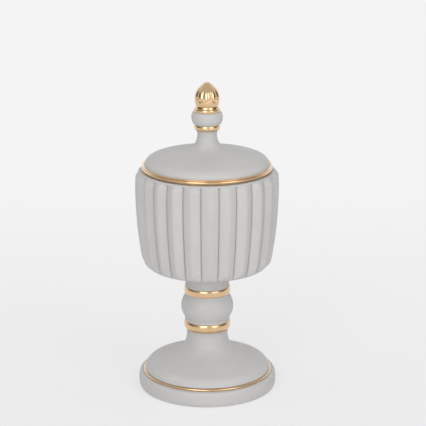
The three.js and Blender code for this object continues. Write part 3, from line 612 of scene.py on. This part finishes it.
def make_lid():
    """The domed lid with its neck, and the flange that drops into the mouth."""
    foot, height, _ = measured("lid")
    foot += LID_FLANGE_DEPTH
    height -= LID_FLANGE_DEPTH
    edge, edge_height = 65.2, 5.4
    shoulder_rise = 7.2
    slope_start, slope_base = edge - 5.6, edge_height + shoulder_rise
    turn_radius, crown = 53.5, 30
    turn_height = slope_base + (slope_start - turn_radius) * LID_SLOPE
    crown_height = slope_base + 6.8
    waist, waist_height, neck_end = 10.2, height - 5.8, 11.3
    flange, flange_inside, flange_chamfer = 61.1, 56.1, 1
    seat_height = 13.5
    roof_foot = slope_base - 6.17
    seat_radius = slope_start - (seat_height - roof_foot) / LID_ROOF_SLOPE
    roof_edge = flange_inside - 4
    roof_edge_height = roof_foot + (slope_start - roof_edge) * LID_ROOF_SLOPE
    inner_roof = roof_foot + (slope_start - flange_inside) * LID_ROOF_SLOPE
    outline = [(flange_inside, -LID_FLANGE_DEPTH), (flange - flange_chamfer, -LID_FLANGE_DEPTH)]
    outline += [(flange, flange_chamfer - LID_FLANGE_DEPTH), (flange, 0), (edge, 0)]
    outline += [(edge, edge_height)]
    shoulder_pull = (edge - 1.3, edge_height + shoulder_rise * 0.73)
    outline += curve(outline[-1], shoulder_pull, (slope_start, slope_base), steps=14)
    outline += curve(outline[-1], (turn_radius, turn_height), (crown, crown_height), steps=20)
    crown_pull = (crown * 0.67, crown_height + 1.9)
    neck_pull = (waist + 0.9, waist_height - 12)
    outline += curve(outline[-1], crown_pull, (waist, waist_height), neck_pull, steps=24)
    outline += curve(outline[-1], (waist, height - 2), (neck_end, height))
    outline += socket_above(STUD_BORE, SMALL_SPIGOT, height)
    outline += [(STUD_BORE, seat_height), (seat_radius, seat_height)]
    outline += [(roof_edge, roof_edge_height)]
    outline += curve(outline[-1], (flange_inside, inner_roof), (flange_inside, inner_roof - 5))
    mesh = spun(outline, foot)
    ease_corners(mesh, width=0.3)
    return finished(mesh, "domed_lid", GREY, "lid", "lid")


def make_lid_gilt_band():
    """The gilt band round the lid's edge: a full bead with a fine fillet over it."""
    foot, height, radius = measured("lid_gilt_band")
    inside, undercut = radius - 3.05, radius - 2.5
    bead_low, bead_top, bead_reach = 1, 4, 1.4
    crease, crease_height = 0.15, 0.25
    fillet, fillet_reach = radius - 1.35, 0.5
    fillet_low = bead_top + crease_height
    outline = [(inside, 0), (undercut, 0), (undercut, bead_low)]
    outline += swell(radius - bead_reach, bead_low, bead_top, bead_reach)
    outline += [(radius - bead_reach - crease, fillet_low)]
    outline += swell(fillet, fillet_low, height, fillet_reach, steps=5)
    outline += [(inside, height)]
    mesh = spun(outline, foot)
    return finished(mesh, "lid_band_gilding", GILT, "lid", "lid_gilt_band")


# The finial

def make_finial_collar():
    """The gilt collar on the lid's neck."""
    foot, height, radius = between_spigots("finial_collar", SMALL_SPIGOT)
    foot_radius, top_radius = 11.3, 12.8
    outline = spigot_below(STUD_BORE, SMALL_SPIGOT) + [(foot_radius, 0)]
    outline += curve(outline[-1], (radius, 0.6), (radius, height * 0.55))
    outline += curve(outline[-1], (radius, height - 0.5), (top_radius, height))
    outline += spigot_above(STUD_BORE, SMALL_SPIGOT, height)
    mesh = spun(outline, foot, STEM_STEPS)
    ease_corners(mesh, width=0.15)
    return finished(mesh, "finial_gilt_collar", GILT, "lid", "finial_collar")


def make_finial_bead():
    """The grey bead of the finial."""
    foot, height, radius = measured("finial_bead")
    foot_radius, top_radius, end_pull = 13, 13.3, 1.8
    middle = height * 0.53
    outline = socket_below(STUD_BORE, SMALL_SPIGOT) + [(foot_radius, 0)]
    foot_pull = (foot_radius + end_pull, middle * 0.12)
    outline += curve(outline[-1], foot_pull, (radius, middle), (radius, middle * 0.5))
    upper_pull = (radius, part_way(middle, height, 0.6))
    outline += curve(outline[-1], upper_pull, (top_radius, height), (top_radius + end_pull, height))
    outline += socket_above(STUD_BORE, SMALL_SPIGOT, height)
    mesh = spun(outline, foot, STEM_STEPS)
    ease_corners(mesh, width=0.2)
    return finished(mesh, "finial_grey_bead", GREY, "lid", "finial_bead")


def make_acorn_ring():
    """The flared gilt ring under the acorn."""
    foot, height, radius = measured("acorn_ring")
    foot += SMALL_SPIGOT[1]
    height -= SMALL_SPIGOT[1]
    foot_radius, step_radius, top_radius = 13.3, 11.9, 11.6
    lip, lip_rounding, step_rise = height * 0.6, 0.9, 0.4
    outline = spigot_below(STUD_BORE, SMALL_SPIGOT) + [(foot_radius, 0)]
    outline += curve(outline[-1], (radius, 0), (radius, lip / 2))
    outline += curve(outline[-1], (radius, lip), (radius - lip_rounding, lip))
    outline += [(step_radius, lip + step_rise), (top_radius, height), (STUD_BORE, height)]
    mesh = spun(outline, foot, STEM_STEPS)
    ease_corners(mesh, width=0.12)
    return finished(mesh, "flared_gilt_ring", GILT, "lid", "acorn_ring")


LOBE_COUNT = 10
LOBE_STEPS = 24  # steps of the turning to each lobe
LOBE_DEPTH = 1.15
LOBE_FADE = 8  # height from which the lobes grow shallow, up to the cap
PETAL_FOOT = 6.2  # the lobes' rounded lower ends, at their lowest
PETAL_RISE = 2.6  # how much higher they end in the valleys
PETAL_FADE = 15  # height where the rounded ends no longer shift the surface
CUP_RADIUS = 12.7
CAP_HEIGHT = 1.7
HOLE_DEPTH = 12.3  # of the hole for the stud


def acorn_outline(height, radius):
    """The acorn before it is lobed: a plain cup, a step out to the petals, and a domed top."""
    foot_radius = CUP_RADIUS - 1.3
    widest, cap = 7.4, 4.2
    cap_base = height - CAP_HEIGHT
    outline = [(0, HOLE_DEPTH), (STUD_BORE, HOLE_DEPTH), (STUD_BORE, 0), (foot_radius, 0)]
    outline += curve(outline[-1], (CUP_RADIUS, 1.6), (CUP_RADIUS, PETAL_FOOT - 0.6), steps=6)
    outline += [(CUP_RADIUS - 0.25, PETAL_FOOT - 0.15), (radius - 0.3, PETAL_FOOT)]
    outline += [(radius - 0.12, PETAL_FOOT + 0.35), (radius, widest)]
    side_pull = (radius, part_way(widest, cap_base, 0.54))
    cap_pull = (cap + 4.5, part_way(cap_base, widest, 0.26))
    outline += curve(outline[-1], side_pull, (cap, cap_base), cap_pull, steps=20)
    return outline + curve(outline[-1], (cap * 0.55, height), (0, height), steps=6)


def make_acorn():
    """The gilt acorn: rounded lobes that end in petals over a plain cup, and meet at a blunt tip."""
    foot, height, radius = measured("acorn")
    outline = acorn_outline(height, radius)
    mesh = spun(outline, foot, LOBE_COUNT * LOBE_STEPS, closed=False)
    crowd_steps(mesh, LOBE_COUNT, FRONT)
    hole_radius = STUD_BORE + 0.5
    cap_base = height - CAP_HEIGHT
    moved = []
    for vert in mesh.verts:
        vert_radius, level = place_on(vert, foot)
        if vert_radius < hole_radius and level < height / 2:
            continue
        across = min(across_ridge(vert, LOBE_COUNT, FRONT), 1)
        roundness = across * across
        on_petals = 1 if level > PETAL_FOOT - 0.05 else 0
        shallow = (1 - smooth_share(level, LOBE_FADE, cap_base)) ** 0.8
        depth = LOBE_DEPTH * roundness * on_petals * shallow
        lift = PETAL_RISE * roundness * smooth_share(level, 0.5, PETAL_FOOT - 0.2)
        lift *= 1 - smooth_share(level, PETAL_FOOT, PETAL_FADE)
        moved.append((vert, Vector((0, 0, lift)) * MM - vert.normal * depth * MM))
    for vert, shift in moved:
        vert.co += shift
    bmesh.ops.recalc_face_normals(mesh, faces=mesh.faces)
    return finished(mesh, "lobed_acorn", GILT, "lid", "acorn")


# The rods that clamp the stack, with their nuts, washers and gaskets

NUT_FACE_SHARE = 0.95  # the round face of a nut, as a share of its width across the flats
CHAMFER_RISE = math.tan(math.radians(30))
CHAMFER_STEPS = 4
HALF_FLAT = math.pi / 6  # half of the angle that one side of a hexagon takes
BORE_CHAMFER = 0.3
ROD_CHAMFER = 0.6
THREAD_ROWS = 6  # rows of points to one turn of a thread
ROD_NUT = {"across_flats": 10, "rod_radius": 3}
STUD_NUT = {"across_flats": 7, "rod_radius": 2}


def make_nut(name, node, across_flats, bore, body):
    """A hexagon nut with both ends chamfered."""
    foot, height, _ = measured(node)
    apothem = across_flats / 2
    corner = apothem / math.cos(HALF_FLAT)
    face = apothem * NUT_FACE_SHARE
    chamfer = (corner - face) * CHAMFER_RISE
    drops = [chamfer * step / CHAMFER_STEPS for step in range(CHAMFER_STEPS + 1)]
    levels = drops + [height - drop for drop in reversed(drops)]
    outline = [(bore + BORE_CHAMFER, 0)] + [(corner, level) for level in levels]
    outline += [(bore + BORE_CHAMFER, height), (bore, height - BORE_CHAMFER), (bore, BORE_CHAMFER)]
    mesh = spun(outline, foot, HARDWARE_STEPS)
    for vert in mesh.verts:
        radius, level = place_on(vert, foot)
        if radius < bore + 2 * BORE_CHAMFER:
            continue
        side = math.atan2(vert.co.y, vert.co.x) % (2 * HALF_FLAT) - HALF_FLAT
        flat = apothem / math.cos(side)
        cone = face + min(level, height - level) / CHAMFER_RISE
        vert.co.xy *= max(min(flat, cone), face) / radius
    bmesh.ops.recalc_face_normals(mesh, faces=mesh.faces)
    return finished(mesh, name, STEEL, body, node)


def make_washer(name, node, bore, body):
    """A plain steel washer."""
    foot, height, radius = measured(node)
    outline = [(bore, 0), (radius, 0), (radius, height), (bore, height)]
    mesh = spun(outline, foot, HARDWARE_STEPS)
    ease_corners(mesh, width=0.15)
    return finished(mesh, name, STEEL, body, node)


def make_gasket(name, node, bore, body):
    """A soft ring whose squeezed edge bulges a little."""
    foot, height, radius = measured(node)
    bulge = 0.5
    outline = [(bore, 0)] + swell(radius - bulge, 0, height, bulge, steps=4) + [(bore, height)]
    mesh = spun(outline, foot, HARDWARE_STEPS)
    return finished(mesh, name, RUBBER, body, node)


def make_threaded_rod(name, node, pitch, thread_depth, foot_thread, top_thread, body):
    """A rod with a thread at each end, which lies between two distances from that end."""
    foot, height, radius = measured(node)
    threads = [foot_thread, (height - top_thread[1], height - top_thread[0])]
    outline = [(0, 0), (radius - ROD_CHAMFER, 0), (radius, ROD_CHAMFER)]
    for low, high in threads:
        count = round((high - low) * THREAD_ROWS / pitch)
        outline += [(radius, part_way(low, high, step / count)) for step in range(count + 1)]
    outline += [(radius, height - ROD_CHAMFER), (radius - ROD_CHAMFER, height), (0, height)]
    mesh = spun(outline, foot, HARDWARE_STEPS // 2, closed=False)
    for vert in mesh.verts:
        vert_radius, level = place_on(vert, foot)
        cut = any(low <= level <= high for low, high in threads)
        if vert_radius < radius - 0.1 or not cut:
            continue
        turns = level / pitch - math.atan2(vert.co.y, vert.co.x) / (2 * math.pi)
        depth = thread_depth * 2 * abs(turns % 1 - 0.5)
        vert.co.xy *= 1 - depth / radius
    bmesh.ops.recalc_face_normals(mesh, faces=mesh.faces)
    return finished(mesh, name, STEEL, body, node)


def make_clamp(place, body, across_flats, rod_radius):
    """A nut, a washer and a gasket at one end of a rod."""
    make_gasket(place + "_rubber_ring", place + "_gasket", rod_radius + 0.5, body)
    make_washer(place + "_steel_washer", place + "_washer", rod_radius + 0.5, body)
    make_nut(place + "_hex_nut", place + "_nut", across_flats, rod_radius + 0.2, body)


def make_hardware():
    """The rod through the stem and the stud through the lid's neck, with all that is on them."""
    make_clamp("bowl", "jar", **ROD_NUT)
    make_clamp("foot", "jar", **ROD_NUT)
    make_clamp("lid", "lid", **STUD_NUT)
    make_threaded_rod(
        "tie_bar", "tie_rod", pitch=1, thread_depth=0.5,
        foot_thread=(0.8, 11), top_thread=(0.8, 12), body="jar",
    )
    make_threaded_rod(
        "stud_bar", "finial_stud", pitch=0.7, thread_depth=0.35,
        foot_thread=(0.8, 7), top_thread=(0.8, 10), body="lid",
    )


make_felt_ring()
make_foot()
make_foot_gilt_ring()
make_lower_collar()
make_knop()
make_upper_collar()
make_bowl()
make_lid()
make_lid_gilt_band()
make_finial_collar()
make_finial_bead()
make_acorn_ring()
make_acorn()
make_hardware()


# The studio

TARGET = Vector((0.0061, 0, 0.19045))
CAMERA_HEIGHT_ANGLE = math.radians(16.2)
CAMERA_DISTANCE = 1.8375
LENS = 147.9
SENSOR_WIDTH = 36


def place_camera():
    """The camera at the photograph's height and distance, just to the right of the jar's axis."""
    data = bpy.data.cameras.new("studio_camera")
    data.lens = LENS
    data.sensor_width = SENSOR_WIDTH
    camera = bpy.data.objects.new("studio_camera", data)
    bpy.context.scene.collection.objects.link(camera)
    back, up = math.cos(CAMERA_HEIGHT_ANGLE), math.sin(CAMERA_HEIGHT_ANGLE)
    camera.location = TARGET + CAMERA_DISTANCE * Vector((0, -back, up))
    camera.rotation_euler = (math.pi / 2 - CAMERA_HEIGHT_ANGLE, 0, 0)
    bpy.context.scene.camera = camera


SOFTBOX_SIZE = (1.2, 1.6)
SOFTBOX_DISTANCE = 2.2
SOFTBOX_ELEVATION = math.radians(22)


def add_softbox(name, azimuth, power):
    """A wide soft lamp that faces the jar. Azimuth 0 is the front, and positive is to the right."""
    data = bpy.data.lights.new(name, "AREA")
    data.shape = "RECTANGLE"
    data.size, data.size_y = SOFTBOX_SIZE
    data.energy = power
    lamp = bpy.data.objects.new(name, data)
    bpy.context.scene.collection.objects.link(lamp)
    turn = math.radians(azimuth)
    level, rise = math.cos(SOFTBOX_ELEVATION), math.sin(SOFTBOX_ELEVATION)
    away = Vector((math.sin(turn) * level, -math.cos(turn) * level, rise))
    lamp.location = TARGET + SOFTBOX_DISTANCE * away
    lamp.rotation_euler = away.to_track_quat("Z", "Y").to_euler()


WHITE = (1, 1, 1, 1)

# How strongly parts of the room shine on the jar
ROOM_LIGHT = 0.16  # the walls
CEILING_LIGHT = 0.72
BACKDROP_LIGHT = 0.5

# How bright the same parts look in metal and glaze
ROOM_CEILING = 0.6
ROOM_FRONT = 0.5
ROOM_SIDE = 0.1
BACKDROP = 0.92  # also where the camera sees the room

# Each part fades in between two shares of a direction of length 1
FRONT_EDGE = (-0.2, -0.8)  # of its Y
BACKDROP_EDGE = (0.15, 0.6)  # of its Y
CEILING_EDGE = (0.4, 0.6)  # of its Z


def larger(nodes, links, first, second):
    """The larger of two values."""
    pick = nodes.new("ShaderNodeMath")
    pick.operation = "MAXIMUM"
    links.new(first, pick.inputs[0])
    links.new(second, pick.inputs[1])
    return pick.outputs["Value"]


def between(nodes, links, share, first, second):
    """A value between two. Each may be a number or a socket."""
    mix = nodes.new("ShaderNodeMix")
    links.new(share, mix.inputs[0])
    for value, socket in ((first, mix.inputs[2]), (second, mix.inputs[3])):
        if isinstance(value, (int, float)):
            socket.default_value = value
        else:
            links.new(value, socket)
    return mix.outputs[0]


def light_room():
    """A dim room with a pale ceiling and a white backdrop, which add to the light of the lamps."""
    world = bpy.data.worlds.new("white_studio")
    world.use_nodes = True
    bpy.context.scene.world = world
    nodes, links = world.node_tree.nodes, world.node_tree.links
    background = nodes["Background"]
    background.inputs["Color"].default_value = WHITE
    place = nodes.new("ShaderNodeTexCoord").outputs["Generated"]
    split = nodes.new("ShaderNodeSeparateXYZ")
    links.new(place, split.inputs["Vector"])
    ahead = spread(nodes, links, split.outputs["Y"], *FRONT_EDGE)
    behind = spread(nodes, links, split.outputs["Y"], *BACKDROP_EDGE)
    above = spread(nodes, links, split.outputs["Z"], *CEILING_EDGE)
    room = between(nodes, links, ahead, ROOM_SIDE, ROOM_FRONT)
    roofed = between(nodes, links, above, room, ROOM_CEILING)
    mirrored = between(nodes, links, behind, roofed, BACKDROP)
    ceiling = between(nodes, links, above, ROOM_LIGHT, CEILING_LIGHT)
    soft = between(nodes, links, behind, ceiling, BACKDROP_LIGHT)
    rays = nodes.new("ShaderNodeLightPath").outputs
    clear = larger(nodes, links, rays["Is Camera Ray"], rays["Is Transmission Ray"])
    shown = between(nodes, links, rays["Is Glossy Ray"], soft, mirrored)
    links.new(between(nodes, links, clear, shown, BACKDROP), background.inputs["Strength"])


FLOOR_REACH = 8
FLOOR_GLOW_NEAR = 0.44  # share of the floor's brightness, where it is seen or reflected, that isn't shaded
FLOOR_GLOW_FAR = 1
FLOOR_FAR = (-0.25, 0.8)  # the share grows from near to far between these places on Y, in metres


def lay_floor():
    """A wide white table that runs off into the white, and takes the jar's soft shadow."""
    mesh = bmesh.new()
    bmesh.ops.create_circle(mesh, cap_ends=True, radius=FLOOR_REACH, segments=64)
    data = bpy.data.meshes.new("white_table")
    mesh.to_mesh(data)
    mesh.free()
    table = bpy.data.objects.new("white_table", data)
    bpy.context.scene.collection.objects.link(table)
    finish, nodes, links, shader, place = new_finish("white_table")
    shader.inputs["Base Color"].default_value = srgb(247, 246, 247)
    shader.inputs["Roughness"].default_value = 0.9
    shader.inputs["Specular IOR Level"].default_value = 0.1
    split = nodes.new("ShaderNodeSeparateXYZ")
    links.new(place, split.inputs["Vector"])
    glow = nodes.new("ShaderNodeEmission")
    far = spread(nodes, links, split.outputs["Y"], *FLOOR_FAR)
    glow_color = mixed(nodes, links, far, srgb(252, 251, 252), srgb(244, 244, 244))
    links.new(glow_color, glow.inputs["Color"])
    rays = nodes.new("ShaderNodeLightPath").outputs
    seen = larger(nodes, links, rays["Is Camera Ray"], rays["Is Glossy Ray"])
    shown = larger(nodes, links, seen, rays["Is Transmission Ray"])
    glowing = between(nodes, links, far, FLOOR_GLOW_NEAR, FLOOR_GLOW_FAR)
    share = nodes.new("ShaderNodeMath")
    share.operation = "MULTIPLY"
    links.new(shown, share.inputs[0])
    links.new(glowing, share.inputs[1])
    blend = nodes.new("ShaderNodeMixShader")
    links.new(share.outputs["Value"], blend.inputs["Fac"])
    links.new(shader.outputs["BSDF"], blend.inputs[1])
    links.new(glow.outputs["Emission"], blend.inputs[2])
    links.new(blend.outputs["Shader"], nodes["Material Output"].inputs["Surface"])
    data.materials.append(finish)


place_camera()
add_softbox("left_softbox", azimuth=-18, power=15.5)
add_softbox("right_softbox", azimuth=40, power=10.2)
light_room()
lay_floor()
bpy.context.scene.view_settings.view_transform = "Standard"
